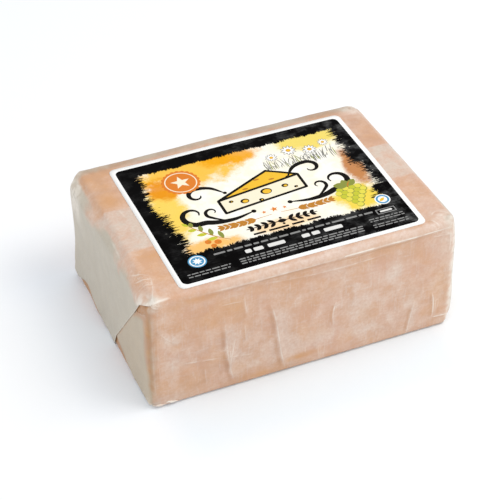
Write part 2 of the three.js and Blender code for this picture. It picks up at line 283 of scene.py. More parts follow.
def fractal(points, size, seed, octaves=3):
    """Value noise summed over octaves of half the size and half the height each."""
    return sum(value_noise(points, size / 2**k, seed + k) / 2**k for k in range(octaves))


def grid_noise(x, y, z, size, seed):
    """Noise at a grid of places."""
    places = np.stack(np.broadcast_arrays(x, y, z), -1)
    return fractal(places.reshape(-1, 3), size, seed, 2).reshape(places.shape[:-1])


def wave(p):
    """Low waves all over the block, between -1 and 1."""
    long = np.sin(p[:, 0] / 23 + 1.3) * np.cos(p[:, 1] / 19 + p[:, 2] / 17)
    short = np.sin(p[:, 0] / 11 - p[:, 2] / 9 + 0.4) * np.sin(p[:, 1] / 12 + 2.1)
    return 0.65 * long + 0.35 * short


def bulge(p):
    """How far the paper stands proud of an end, at points on the block."""
    end = np.clip((np.abs(p[:, 0]) - HALF[0] + EDGE_RADIUS) / EDGE_RADIUS, 0, None)
    places = p[:, 1:] + (0, HALF[2])
    heights = []
    for side, middle, size, rise in BULGES:
        heights.append((p[:, 0] * side > 0) * rise * spot(places, middle, size))
    return end * np.max(heights, axis=0)


def slump(p):
    """Moves points near a slumped corner or edge straight in, onto its softly cut face."""
    for side, cut in CUTS:
        side, cut = np.array(side), np.array(cut, float)
        missing = 1 - ((HALF - side * p) / cut).sum(1)
        bend = np.clip(missing + CUT_SOFTNESS, 0, None) ** 2 / (4 * CUT_SOFTNESS)
        missing = np.where(missing > CUT_SOFTNESS, missing, bend)
        p = p - (missing / (1 / cut**2).sum())[:, None] * side / cut
    return p


def block_form(sharp):
    """Moves points from a sharp box about the origin onto the wrapped block, which stands on z = 0.

    Returns the points and the directions that face out of the block."""
    radius = BASE_RADIUS + (EDGE_RADIUS - BASE_RADIUS) * smooth(4, 14, sharp[:, 2] + HALF[2])[:, None]
    inner = np.clip(sharp, radius - HALF, HALF - radius)
    out = sharp - inner
    out /= np.linalg.norm(out, axis=1)[:, None]
    p = inner + radius * out
    free = smooth(0, FLAT_BASE_RISE, p[:, 2] + HALF[2])
    p = p + out * (WAVE_HEIGHT * wave(p) * free)[:, None]
    p[:, 0] += np.sign(p[:, 0]) * bulge(p)
    p = slump(p)
    p[:, 2] += HALF[2]
    return p, out


def grid_lines(cells, half, edge_cells):
    """Grid lines that bunch over the rounded edges, so that each edge gets an even fan of facets."""
    edge = half - EDGE_RADIUS + EDGE_RADIUS * np.tan(np.linspace(np.pi / 4, 0, edge_cells + 1))
    middle = np.linspace(-edge[-1], edge[-1], cells - 2 * edge_cells + 1)
    return np.concatenate([-edge[:-1], middle, edge[-2::-1]])


def box_grid(cells, edge_cells=4):
    """(points, quads) of a closed grid on the sharp box, welded along its edges."""
    shape = [n + 1 for n in cells]
    lattice = np.indices(shape).reshape(3, -1).T
    surface = ((lattice == 0) | (lattice == cells)).any(1)
    number = (np.cumsum(surface) - 1).reshape(shape)
    lines = [grid_lines(cells[axis], HALF[axis], edge_cells) for axis in range(3)]
    points = np.stack([lines[axis][lattice[surface, axis]] for axis in range(3)], -1)
    quads = []
    for axis, end in product(range(3), (0, 1)):
        face = np.take(number, -end, axis=axis)
        loop = [face[:-1, :-1], face[1:, :-1], face[1:, 1:], face[:-1, 1:]]
        if (axis == 1) == bool(end):
            loop.reverse()
        quads.append(np.stack(loop, -1).reshape(-1, 4))
    return points, np.concatenate(quads).tolist()


def link(name, data):
    """A new object in the scene, with that data."""
    made = bpy.data.objects.new(name, data)
    bpy.context.scene.collection.objects.link(made)
    return made


def add_piece(name, points, faces, material, tones=(), rim=0):
    """One mesh in millimetres becomes a piece that rides on the object's only body. Its last faces, as
    many as rim, keep a sharp edge."""
    mesh = bpy.data.meshes.new(name)
    mesh.from_pydata((points * MM).tolist(), [], faces)
    mesh.polygons.foreach_set("use_smooth", np.arange(len(faces)) < len(faces) - rim)
    mesh.update()
    for key, values in dict(tones).items():
        values = (np.zeros(len(points)) + values).astype(np.float32)
        mesh.attributes.new(key, "FLOAT", "POINT").data.foreach_set("value", values)
    mesh.materials.append(material)
    piece = link(name, mesh)
    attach(piece, "root")
    return piece


def sheet_faces(rows, columns):
    """Quads of a thin sheet: an outer and an inner grid of points, and last the quads round its rim."""
    many = rows * columns
    outer = np.arange(many).reshape(rows, columns)
    grid = np.stack([outer[:-1, :-1], outer[:-1, 1:], outer[1:, 1:], outer[1:, :-1]], -1).reshape(-1, 4)
    rim = np.concatenate([outer[0, :-1], outer[:-1, -1], outer[-1, :0:-1], outer[:0:-1, 0]])
    ahead = np.roll(rim, -1)
    walls = np.stack([ahead, rim, rim + many, ahead + many], -1)
    return np.concatenate([grid, grid[:, [0, 3, 2, 1]] + many, walls]).tolist()


class Paint:
    """A material built node by node: each method adds a node and returns its output socket."""

    def __init__(self, name, roughness, specular):
        self.material = bpy.data.materials.new(name)
        self.material.use_nodes = True
        self.tree = self.material.node_tree
        self.shader = self.tree.nodes["Principled BSDF"]
        self.set("Roughness", roughness)
        self.set("Specular IOR Level", specular)
        self.place = self.node("ShaderNodeTexCoord").outputs["Object"]

    def node(self, kind, inputs=(), **settings):
        made = self.tree.nodes.new(kind)
        for key, value in settings.items():
            setattr(made, key, value)
        for key, value in dict(inputs).items():
            self.feed(made.inputs[key], value)
        return made

    def feed(self, socket, value):
        if isinstance(value, bpy.types.NodeSocket):
            self.tree.links.new(value, socket)
        else:
            socket.default_value = value

    def set(self, key, value):
        self.feed(self.shader.inputs[key], value)

    def level_place(self):
        """The coordinates x and y."""
        return self.node("ShaderNodeSeparateXYZ", {0: self.place}).outputs[:2]

    def math(self, operation, a, b=0.0, clamp=False):
        return self.node("ShaderNodeMath", {0: a, 1: b}, operation=operation, use_clamp=clamp).outputs[0]

    def times(self, a, b, clamp=False):
        return self.math("MULTIPLY", a, b, clamp)

    def minus(self, a, b):
        return self.math("SUBTRACT", a, b)

    def distance(self, value, place):
        return self.math("ABSOLUTE", self.minus(value, place))

    def total(self, first, *rest, clamp=False):
        """The sum of a value and of (value, weight) pairs."""
        for value, weight in rest:
            inputs = {0: value, 1: weight, 2: first}
            first = self.node("ShaderNodeMath", inputs, operation="MULTIPLY_ADD").outputs[0]
        return self.math("ADD", first, clamp=True) if clamp else first

    def stirred(self, first, *noises):
        """A value moved by (noise, weight) pairs, each noise about its middle."""
        return self.total(first, *((self.minus(noise, 0.5), weight) for noise, weight in noises))

    def mix(self, share, a, b, blend="MIX"):
        inputs = {0: share, 6: a, 7: b}
        return self.node("ShaderNodeMix", inputs, data_type="RGBA", blend_type=blend).outputs[2]

    def attribute(self, name, output="Fac"):
        return self.node("ShaderNodeAttribute", attribute_name=name).outputs[output]

    def stretched(self, scale):
        return self.node("ShaderNodeMapping", {"Vector": self.place, "Scale": scale}).outputs[0]

    def noise(self, size_mm, detail=3.0, roughness=0.55, where=None, distortion=0.0):
        inputs = {"Vector": where or self.place, "Scale": 1 / (size_mm * MM), "Detail": detail}
        inputs.update({"Roughness": roughness, "Distortion": distortion})
        return self.node("ShaderNodeTexNoise", inputs).outputs["Fac"]

    def creases(self, size_mm, width):
        """Thin straight lines between cells of that size, 1 on a line and 0 away from it."""
        inputs = {"Vector": self.place, "Scale": 1 / (size_mm * MM)}
        made = self.node("ShaderNodeTexVoronoi", inputs, feature="DISTANCE_TO_EDGE")
        return self.ramp(made.outputs["Distance"], 0.0, width, 1.0, 0.0)

    def ramp(self, value, low, high, to_low=0.0, to_high=1.0):
        inputs = enumerate((value, low, high, to_low, to_high))
        return self.node("ShaderNodeMapRange", inputs, interpolation_type="SMOOTHSTEP").outputs[0]

    def bump(self, height, strength, distance_mm):
        inputs = {"Strength": strength, "Distance": distance_mm * MM, "Height": height}
        self.set("Normal", self.node("ShaderNodeBump", inputs).outputs[0])


def colour(red, green, blue):
    """A linear colour from the 0 to 255 values of a display."""
    def linear(value):
        value /= 255
        return value / 12.92 if value <= 0.04045 else ((value + 0.055) / 1.055) ** 2.4

    return (linear(red), linear(green), linear(blue), 1.0)


def paper_material():
    """Waxed paper: the rind's colour shows where it clings, and it is paler where it stands off.
    Painted light pales the gentle sides of its folds and partly whitens its creases, and painted shade
    darkens the feet of its folds and the gaps of its ends.
    """
    paint = Paint("waxed_paper", roughness=0.42, specular=0.3)
    attribute, mix, ramp, times = paint.attribute, paint.mix, paint.ramp, paint.times
    fine = paint.noise(1.7, 4, 0.6)
    specks = paint.noise(0.8, 2, 0.5)
    blots = paint.noise(4, 1, 0.4, distortion=0.5)
    patches = paint.noise(9, 2, 0.4, distortion=0.4)
    drift = paint.noise(24, 2, 0.5)
    level = ramp(paint.noise(1.0, 2, 0.6, paint.stretched((0.09, 0.09, 1.0)), 0.6), 0.55, 0.7)
    level = times(level, ramp(attribute("grey"), 0.3, 0.8, 1.0, 0.0))
    upright = ramp(paint.noise(1.1, 2, 0.6, paint.stretched((1.0, 1.0, 0.09)), 0.6), 0.55, 0.7)
    crinkle = times(times(paint.creases(8, 0.035), ramp(patches, 0.5, 0.62)), attribute("crinkle"))

    lift = paint.stirred(attribute("lift"), (fine, 0.3), (patches, 1.5), (blots, 0.8))
    lift = paint.total(lift, (level, 0.3), (upright, 0.36), clamp=True)
    cling = mix(ramp(drift, 0.3, 0.7), colour(213, 168, 135), colour(215, 173, 149))
    stand_off = mix(ramp(fine, 0.3, 0.7), colour(217, 187, 168), colour(222, 199, 184))
    tan_share = times(attribute("tan"), ramp(patches, 0.3, 0.6, 0.55, 1.0), clamp=True)
    tan = mix(drift, colour(213, 163, 114), colour(208, 152, 104))
    tone = mix(tan_share, mix(lift, cling, stand_off), tan)
    greys = mix(ramp(specks, 0.3, 0.7), colour(193, 183, 166), colour(198, 189, 173))
    greys = mix(attribute("tan"), greys, colour(193, 170, 140))
    ragged = paint.stirred(attribute("grey"), (patches, 0.5), (blots, 0.25), (fine, 0.08), (drift, 0.4))
    tone = mix(times(ramp(ragged, 0.1, 0.95), ramp(attribute("grey"), 0.0, 0.1)), tone, greys)
    # The tone darkened by painted shade at the feet of folds and in the gaps of the ends, and by the
    # paper's darker places
    darkened_tone = mix(1.0, tone, (0.79, 0.765, 0.74, 1.0), "MULTIPLY")
    tone = mix(times(attribute("painted_shade_and_darkening"), ramp(patches, 0.3, 0.65, 1.0, 0.6)), tone, darkened_tone)

    # The creases' white lines: partly the paper's own whitening, partly a painted highlight
    side = paint.math("DIVIDE", attribute("crease_side"), 0.55)
    line = paint.math("SUBTRACT", 1.0, paint.math("POWER", side, 2.0), clamp=True)
    line = times(times(line, attribute("crease")), ramp(patches, 0.35, 0.6, 0.35, 1.0))
    pale = times(attribute("pale"), ramp(blots, 0.3, 0.65, 0.4, 1.3))
    white = paint.total(line, (pale, 1.0), (crinkle, 0.35), clamp=True)
    tone = mix(white, tone, colour(240, 230, 217))
    depth = times(ramp(fine, 0.25, 0.75, 0.975, 1.02), ramp(patches, 0.3, 0.7, 0.97, 1.02))
    paint.set("Base Color", mix(1.0, tone, depth, "MULTIPLY"))
    paint.set("Roughness", ramp(fine, 0.3, 0.7, 0.36, 0.5))
    relief = paint.total(times(blots, 0.8), (level, 0.4), (upright, 0.5), (crinkle, 1.2), (line, 0.6))
    paint.bump(relief, 0.4, 0.22)
    return paint.material


def across_fold(a, b, points):
    """Signed distance from a fold's crest, on a face, and the fold's strength at that place along it."""
    points = np.array(points, float)
    span = np.abs(points[-1] - points[0])
    upright = span[1] > span[0]
    along, off = (b, a) if upright else (a, b)
    knots = points[:, ::-1] if upright else points
    knots = knots[np.argsort(knots[:, 0])]
    low, high = knots[0, 0], knots[-1, 0]
    crest = np.polynomial.Polynomial.fit(knots[:, 0], knots[:, 1], len(knots) - 1)
    place = np.clip(along, low, high)
    across = (off - crest(place)) / np.sqrt(1 + crest.deriv()(place) ** 2)
    fade = 0.22 * (high - low)
    return across, smooth(low - 1, low + fade, along) * (1 - smooth(high - fade, high + 1, along))


def seeded_draw(seed):
    """The same run of numbers between 0 and 1 that the solid's hidden folds are drawn from."""
    state = seed
    while True:
        state = (state * 1664525 + 1013904223) % 2**32
        yield state / 2**32


def hidden_folds(count, width, draw):
    """Upright folds at even spacing, each moved, bent and sized by the seeded draw."""
    folds = []
    for k in range(count):
        middle = ((k + 0.3 + 0.4 * next(draw)) / count - 0.5) * width
        low = 3 + 14 * next(draw)
        high = low + 22 + 30 * next(draw)
        bend = 10 * (next(draw) - 0.5)
        size = 0.5 + 0.5 * next(draw)
        crest = ((middle, low), (middle + bend, (low + high) / 2), (middle + bend / 3, high))
        rise, half = HIDDEN_FOLDS["rise"] * size, HIDDEN_FOLDS["half"] * size
        folds.append((crest, rise, 0.5 * half, 1.3 * half, 0.3))
    return folds


def small_creases(count, width, height, seed):
    """Seeded small creases, upright or level, over a face of that width and height."""
    rng = np.random.default_rng(seed)
    creases = []
    for _ in range(count):
        middle = np.array([rng.uniform(-0.47, 0.47) * width, rng.uniform(0.04, 0.94) * height])
        angle = rng.normal(np.pi / 2 if rng.uniform() < 0.6 else 0, 0.16)
        reach = rng.uniform(4, 18) * np.array([np.cos(angle), np.sin(angle)]) / 2
        sag = rng.normal(0, 0.05) * np.array([-reach[1], reach[0]])
        crest = (middle - reach, middle + sag, middle + reach)
        rise, white = rng.uniform(0.05, 0.2), rng.uniform(-0.2, 0.3)
        creases.append((crest, rise, rng.uniform(0.8, 1.3), rng.uniform(1.2, 2.4), max(white, 0)))
    return creases


def all_folds():
    """Each face's folds, with the direction that the face looks in and how its coordinates are read."""
    draw = seeded_draw(HIDDEN_FOLDS["seed"])
    back = hidden_folds(HIDDEN_FOLDS["back"], LENGTH * 0.9, draw)
    right = hidden_folds(HIDDEN_FOLDS["end"], DEPTH * 0.6, draw)

    def level(p):
        return p[:, 0], p[:, 1] - FRONT

    return (
        ((0, -1, 0), lambda p: (p[:, 0], p[:, 2]), [*FRONT_FOLDS, *small_creases(36, LENGTH, TOP, 11)]),
        ((0, 1, 0), lambda p: (-p[:, 0], p[:, 2]), back + small_creases(60, LENGTH, TOP, 12)),
        ((1, 0, 0), lambda p: (p[:, 1], p[:, 2]), right + small_creases(14, DEPTH, TOP, 13)),
        ((-1, 0, 0), lambda p: (-p[:, 1], p[:, 2]), small_creases(8, DEPTH, TOP, 14)),
        ((0, 0, 1), level, [*TOP_FOLDS, *small_creases(44, LENGTH, DEPTH, 15)]),
        ((0, 0, -1), level, small_creases(50, LENGTH, DEPTH, 16)),
    )


FOLDS = all_folds()


def band_inside(p):
    """How far inside the overlap on the top a point is, negative outside it."""
    share = (p[:, 0] - LEFT) / LENGTH
    near, far = (at_left + (at_right - at_left) * share for at_left, at_right in (BAND_NEAR, BAND_FAR))
    return np.minimum(p[:, 1] - near, far - p[:, 1]) + 0.5 * value_noise(p, 4, 71)


def under_label(p):
    """1 well under the label, 0 outside its edge."""
    inside = np.array(LABEL_SIZE) / 2 - np.abs(p[:, :2] - LABEL_MIDDLE)
    return smooth(-4, 0, inside.min(1)) * (p[:, 2] > TOP - 5)


def corner_crumple(p):
    """How crumpled the paper is at points, 1 at the block's corners and 0 away from them."""
    share = np.zeros(len(p))
    for x, y, z in product((-1, 1), (-1, 1), (0, TOP)):
        near = spot(p, (x * HALF[0], y * HALF[1], z), CRUMPLE_REACH)
        share = np.maximum(share, (1.0 if z else 0.8) * near)
    return share


def paper_relief(p, out):
    """The paper's height over the block at points, with the side and strength of the nearest crease,
    and how far the folds make the paper stand off or cling, with painted light on their gentle sides
    and painted shade at their feet."""
    height = 0.2 * fractal(p, 26, 31, 2) + 0.1 * fractal(p, 9, 33, 3)
    nearest = np.full(len(p), FAR_FROM_CREASE)
    strength, fold_lift_and_shade = np.zeros((2, len(p)))
    for face, read, folds in FOLDS:
        square = smooth(0.1, 0.6, out @ np.array(face, float))
        chosen = np.flatnonzero(square > 0)
        a, b = read(p[chosen])
        share = square[chosen]
        for points, rise, steep, gentle, white in folds:
            across, fade = across_fold(a, b, points)
            width = np.where(across < 0, steep, gentle)
            lean = (np.sqrt(across**2 + CREST_ROUND**2) - CREST_ROUND) / width
            height[chosen] += share * rise * fade * np.exp(-lean)
            # Painted light on a fold's gentle side, and painted shade at the foot of its steep side
            lit_gentle_side = bell((across - 0.5 * gentle) / gentle)
            foot_shade = bell((across + 1.3 * steep) / (1.1 * steep))
            fold_lift_and_shade[chosen] += share * fade * min(rise, 1) * (0.8 * lit_gentle_side - 0.9 * foot_shade)
            closer = (np.abs(across) < np.abs(nearest[chosen])) & (fade > 0.02) & (white > 0)
            nearest[chosen] = np.where(closer, across, nearest[chosen])
            strength[chosen] = np.where(closer, share * fade * white, strength[chosen])
    height += 0.5 * corner_crumple(p) * (1 - 2 * np.abs(fractal(p, 7, 35, 2)))
    free = smooth(0, 5, p[:, 2]) * (1 - 0.9 * under_label(p))
    band = smooth(-0.8, 0.8, band_inside(p)) * smooth(TOP - 6, TOP - 2, p[:, 2])
    return height * free + BAND_RISE * band, nearest, strength * free, fold_lift_and_shade


def turned(points):
    """The right end is the left end turned half round the vertical axis."""
    return points * np.array([-1, -1, 1])


def flap_edge(z):
    """The place y of the flap's free edge at height z on the left end."""
    return np.interp(z, *np.array(FLAP_EDGE)[::-1, ::-1].T)


def sheet_edge(e):
    """The same on a sheet that runs on over the top."""
    return flap_edge(np.clip(e, 0, TOP))


def gap_top(y):
    """The height at y of the gap under the flap, 0 where the flap reaches the base."""
    return np.interp(y, *np.array(FLAP_GAP)[::-1].T)


def line_through(ends, y):
    """The height at y of the straight line through two (y, z) places."""
    (y0, z0), (y1, z1) = ends
    return z0 + (z1 - z0) * (y - y0) / (y1 - y0)


def bare_places(y, z):
    """How bare the end is at places on it, seen between its folds: 1 in a gap and 0 under a fold. The
    second value is the same for the gaps along the base alone."""
    beside = smooth(-1.0, 0.5, flap_edge(z) + 1.5 - y)
    above = smooth(-1.5, 0.5, z - line_through(SIDE_UPPER, y)) * (z > SIDE_UPPER[1][1] - 6)
    above *= smooth(SIDE_UPPER[0][0], SIDE_UPPER[0][0] + 4, y)
    below = smooth(-1.5, 0.5, line_through(SIDE_LOWER, y) - z)
    under = smooth(-1.5, 0.5, gap_top(y) - z) * (gap_top(y) > 0)
    low = np.maximum(beside * below, under)
    return np.maximum(beside * above, low), low


def end_place(p):
    """The place (y, z) of points, as it is on the left end."""
    return np.where(p[:, 0] > 0, -p[:, 1], p[:, 1]), p[:, 2]


def end_gaps(p, out):
    """Both kinds of bareness for points on the block, 0 away from its ends."""
    return np.array(bare_places(*end_place(p))) * smooth(0.5, 0.9, np.abs(out[:, 0]))


def add_patches(tones, places, patches, square):
    """Adds patches to the rows lift, tan and pale, as far as points are square to the patches' face."""
    for middle, size, *values in patches:
        tones += np.outer(values, square * spot(places, middle, size))


def paper_tones(p, out, relief, laid=False):
    """The values that the paper's material reads at points. laid means on a fold over an end."""
    height, side, strength, fold_lift_and_shade = relief
    x, (y, z) = p[:, 0], end_place(p)
    front, top = smooth(0.2, 0.8, -out[:, 1]), smooth(0.2, 0.8, out[:, 2])
    end = smooth(0.3, 0.9, np.abs(out[:, 0]))
    band = smooth(-0.5, 0.5, band_inside(p)) * smooth(-0.3, 0.3, out[:, 2])
    at_back = top * smooth(BACK - 12, BACK - 4, p[:, 1])

    # The folds pale the paper on their gentle sides: painted light, besides the paper standing off
    lift = 0.4 + 0.26 * fractal(p, 20, 51) + 0.35 * height + 0.8 * fold_lift_and_shade - 0.12 * top - 0.02 * front
    tan = 0.12 + 0.3 * smooth(0.1, 0.8, fractal(p, 15, 61))
    lift, tan, pale = tones = np.array([lift, tan, 0 * tan])
    add_patches(tones, p[:, ::2], FRONT_PATCHES, front)
    add_patches(tones, p[:, :2], TOP_PATCHES, top)
    tan += 0.08 * (1 - smooth(2, 9, z)) * (1 - end)
    lift += band * (0.8 - lift)
    tan *= 1 - band
    # Darker: painted shade at the feet of the folds, and a darker tone over the front's lower left and
    # its left edge, the top's strip along the back, its right end and its back half
    painted_shade_and_darkening = 0.95 * np.clip(-fold_lift_and_shade, 0, 1) + 0.25 * smooth(30, -60, x) * smooth(75, 30, z) * front
    painted_shade_and_darkening += 0.9 * at_back + 0.3 * top * smooth(60, 95, x) * (1 - band)
    painted_shade_and_darkening += 0.6 * front * smooth(LEFT + 9, LEFT + 3, x) + 0.25 * top * smooth(16, 30, p[:, 1])

    wander = 6 * fractal(p, 17, 95)
    contact = smooth(TOP - 15, TOP - 1, z + wander - 6 * smooth(-24, -18, y) * smooth(24, 18, y))
    contact *= 1 - 0.9 * smooth(28, 50, y + wander)
    strip = smooth(4, -5, y - np.interp(z, *np.array(STRIP_EDGE).T) - 0.15 * wander)
    beside = smooth(0, 1, flap_edge(z) - y)
    tan = tan * (1 - 0.9 * end * (1 - contact) * (1 - strip)) + end * (0.5 * beside + 0.15 * strip)
    painted_shade_and_darkening += 0.8 * end * strip

    crumple = corner_crumple(p)
    edge = bell((y - flap_edge(z)) / 7) * smooth(TOP - 16, TOP - 7, z) * np.maximum(end, top)
    edge *= smooth(HALF[0] - 12, HALF[0] - 5, np.abs(x))
    fringe = smooth(HALF[0] - 5, HALF[0] - 1.5, x) * smooth(0, 0.5, -out[:, 1])
    corner = smooth(0.25, 0.8, crumple) * (1 - 0.6 * front)
    upright = end * smooth(BACK - 30, BACK - 8, y + wander)
    upright *= smooth(46, 68, z) * smooth(TOP + 4, TOP - 1, z)
    standing = np.where(x < 0, 0.6, 0.25) * upright
    pale = np.max([pale, 0.6 * corner, 0.75 * edge, standing, 0.65 * fringe], 0)
    grey = np.max([
        end * (1 - 0.9 * contact) * (1 - 0.7 * strip),
        0.35 * band,
        0.45 * front * smooth(LEFT + 7, LEFT + 1, x),
        0.62 * at_back,
        0.8 * upright,
        0.7 * smooth(0.15, 0.6, crumple) * (1 - 0.5 * front),
    ], 0)
    if laid:
        # Near its upper edge the side fold clings, tan like the gap above it and darkened with the same
        # painted shade
        clinging = beside * end * smooth(7, 0, line_through(SIDE_UPPER, y) - z)
        tan += clinging * (1 - tan)
        painted_shade_and_darkening += clinging * (1 - painted_shade_and_darkening)
        grey *= 1 - 0.9 * clinging
    else:
        # In the gaps between the folds the bare end takes the rind's tan, and a painted shade where the
        # folds overhang it
        bare, low = end_gaps(p, out)
        tan += bare * (1.2 - tan)
        painted_shade_and_darkening += bare * (1.5 - painted_shade_and_darkening)
        lift *= 1 - bare
        grey = grey * (1 - bare) + 0.3 * low
        pale *= 1 - bare
    return {
        "lift": np.clip(lift, 0, 1),
        "tan": np.clip(tan, 0, 1.2),
        "grey": np.clip(grey, 0, 1),
        "pale": np.clip(pale, 0, 1),
        "painted_shade_and_darkening": np.clip(painted_shade_and_darkening, 0, 1.5),
        "crinkle": np.clip(0.1 + crumple, 0, 1),
        "crease": np.clip(strength, 0, 1),
        "crease_side": side,
    }


def unrolled(y, e):
    """Points on the sharp box for places on the left end: e is the height, and runs on over the top."""
    x = LEFT + np.maximum(0, e - TOP) + np.maximum(0, np.abs(y) - BACK)
    return np.stack([x, np.clip(y, FRONT, BACK), np.clip(e, 0, TOP) - HALF[2]], -1)


def wrap_skin(paper):
    """The sheet round the cheese, closed all round."""
    sharp, quads = box_grid(WRAP_CELLS)
    p, out = block_form(sharp)
    relief = paper_relief(p, out)
    tones = paper_tones(p, out, relief)
    p = p + out * (relief[0] - GAP_DEPTH * end_gaps(p, out).mean(0))[:, None]
    p[:, 2] = np.maximum(p[:, 2], BASE_CLEARANCE)
    return add_piece("paper_wrap", p, quads, paper, tones)


def laid_sheet(name, y, e, offset, paper, right, white=0.0, tan=0.0):
    """A thin sheet over one end of the block, from grids of places and heights above the skin. white and
    tan say how white or tan it is at least at each place."""
    sharp = unrolled(y.ravel(), e.ravel())
    p, out = block_form(turned(sharp) if right else sharp)
    relief = paper_relief(p, out)
    tones = paper_tones(p, out, relief, laid=True)
    tones["pale"] = np.maximum(tones["pale"], np.ravel(white))
    tones["tan"] = np.maximum(tones["tan"], np.ravel(tan))
    tones["grey"] *= 1 - 0.6 * np.ravel(tan)
    outer = p + out * (offset.ravel() + relief[0])[:, None]
    points = np.concatenate([outer, outer - out * PAPER_THICKNESS])
    points[:, 2] = np.maximum(points[:, 2], SHEET_CLEARANCE)
    both = {key: np.tile(values, 2) for key, values in tones.items()}
    add_piece(name, points, sheet_faces(*y.shape), paper, both, 2 * sum(y.shape) - 4)


def end_flap(name, paper, right):
    """The flap from the top, folded down over the end as far as the base."""
    rows, columns = FLAP_GRID
    t = np.linspace(0, 1, rows)[:, None]
    s = 1 - np.linspace(1, 0, columns) ** 1.15
    start, back = TOP + FLAP_RUN_ON, BACK + SIDE_RUN_ON
    y = back + (sheet_edge(start * (1 - t)) - back) * s
    low = 0.15 + gap_top(y)
    e = low + (start - low) * (1 - t)
    y = back + (sheet_edge(e) - back) * s
    free = y - sheet_edge(e)
    off_back = smooth(BACK + 2, BACK - 7, y)
    upper = bell((e - 0.86 * TOP) / 9)
    offset = -0.12 + 0.56 * smooth(TOP + 6, TOP - 9, e) * off_back
    offset += np.exp(-free / 8) * (0.15 + 0.25 * upper) * smooth(TOP + 2, TOP - 6, e)
    soft = grid_noise(FLAP_NOISE_AT[right], y, e, 30, 91)
    soft *= smooth(0, 24, free) * smooth(TOP - 2, TOP - 20, e)
    offset += 0.3 * (soft + 0.4 * np.abs(soft)) * off_back
    if not right:
        offset += LOOSE_CORNER_RISE * spot(np.stack([y, e], -1), *LOOSE_CORNER)
    # The free edge is whitened, partly as the paper's pale cut edge and partly as a painted highlight
    # along it
    laid_sheet(name, y, e, offset, paper, right, white=0.3 * np.exp(-free / 0.8) * (e < TOP))


def side_fold(name, paper, right):
    """The fold from the long side, laid over the end under the flap."""
    rows, columns = SIDE_FOLD_GRID
    t = np.linspace(0, 1, rows)[:, None]
    y = np.linspace(SIDE_LAST, FRONT - SIDE_RUN_ON, columns) + 0 * t
    low = np.maximum(SIDE_LOWEST, line_through(SIDE_LOWER, np.minimum(y, SIDE_LOWER[1][0])))
    high = line_through(SIDE_UPPER, np.maximum(y, FRONT))
    free_edge = np.interp(y, *np.array(FLAP_EDGE).T)
    hidden = smooth(SIDE_UPPER[1][0] - 2, SIDE_UPPER[1][0] + 8, y)
    high = np.maximum(low + 2, high * (1 - hidden) + (free_edge + UNDER_FLAP) * hidden)
    e = low + (high - low) * t
    laid = smooth(FRONT - 2, FRONT + 6, y) * smooth(-1, 9, high - e)
    offset = -0.06 + (0.34 + 0.12 * grid_noise(SIDE_NOISE_AT[right], y, e, 15, 97)) * laid
    # Along the flap's free edge the side fold is painted tan, so that the shadow which the flap casts
    # there turns brown
    laid_sheet(name, y, e, offset, paper, right, tan=0.6 * bell((y - sheet_edge(e)) / 1.8))


def base_tongue(name, paper, right):
    """The end of the flap, tucked flat under the base."""
    rows, columns = TONGUE_GRID
    t, s = np.linspace(0, 1, rows)[:, None], np.linspace(0, 1, columns)
    back = TONGUE_BACK - TONGUE_TAPER * t
    x = LEFT + TONGUE_START + TONGUE_LENGTH * t + 0 * s
    y = back + (FLAP_EDGE[-1][0] - 1 + 2 * t - back) * s
    x += 0.7 * grid_noise(x, y, 3, 14, 77) * t
    outer = np.stack([x, y, TONGUE_HEIGHT + 0 * x], -1).reshape(-1, 3)
    p = np.concatenate([outer, outer + (0, 0, TONGUE_THICKNESS)])
    p[:, 2] += np.tile(np.repeat(TONGUE_CURL * (1 - smooth(0, 0.2, t)), columns), 2)
    faces = [quad[::-1] for quad in sheet_faces(rows, columns)]
    tones = {"lift": 0.7, "tan": 0.1, "grey": 0.6}
    add_piece(name, turned(p) if right else p, faces, paper, tones)


def crimp(name, paper, start, end, radius, seed):
    """A short rolled crease of paper that stands out along an edge near the base, from start to end."""
    steps, sides = CRIMP_GRID
    t = np.linspace(0, 1, steps)[:, None]
    start, end, up = np.array(start), np.array(end), np.array([0, 0, 1])
    across = np.cross((end - start) / np.linalg.norm(end - start), up)
    wobble = np.cumsum(np.random.default_rng(seed).normal(0, 0.05, (steps, 2)), axis=0)
    wobble -= t * wobble[-1]
    centre = start + (end - start) * t + wobble[:, :1] * across + wobble[:, 1:] * up
    size = radius * np.sin(np.pi * (0.04 + 0.92 * t)) ** 0.5 * (1 + 0.2 * np.sin(9 * t + seed))
    angle = np.linspace(0, 2 * np.pi, sides, endpoint=False)[:, None]
    around = np.cos(angle) * across + 0.7 * np.sin(angle) * up
    p = (centre[:, None] + size[:, None] * around).reshape(-1, 3)
    p[:, 2] = np.maximum(p[:, 2], SHEET_CLEARANCE)
    number = np.arange(steps * sides).reshape(steps, sides)
    ahead = np.roll(number, -1, axis=1)
    quads = np.stack([number[:-1], number[1:], ahead[1:], ahead[:-1]], -1).reshape(-1, 4)
    faces = [*quads.tolist(), number[0].tolist(), number[-1, ::-1].tolist()]
    add_piece(name, p, faces, paper, {"lift": 1, "pale": 1, "grey": 0.2})


# The label's print, in millimetres from the label's middle
def ring(u, v, reach, angle, tall=1.0):
    """Points round (u, v), at that reach in the direction of each angle."""
    return np.stack([u + reach * np.cos(angle), v + tall * reach * np.sin(angle)], -1)


def disc(u, v, radius, tall=1.0, sides=32):
    return ring(u, v, radius, np.linspace(0, 2 * np.pi, sides, endpoint=False), tall)


def rounded_box(u, v, width, height, radius, steps=6):
    points = []
    for k, (side_u, side_v) in enumerate(((1, 1), (-1, 1), (-1, -1), (1, -1))):
        at_u, at_v = u + side_u * (width / 2 - radius), v + side_v * (height / 2 - radius)
        for angle in np.linspace(k * np.pi / 2, (k + 1) * np.pi / 2, steps + 1):
            points.append((at_u + radius * math.cos(angle), at_v + radius * math.sin(angle)))
    return np.array(points)


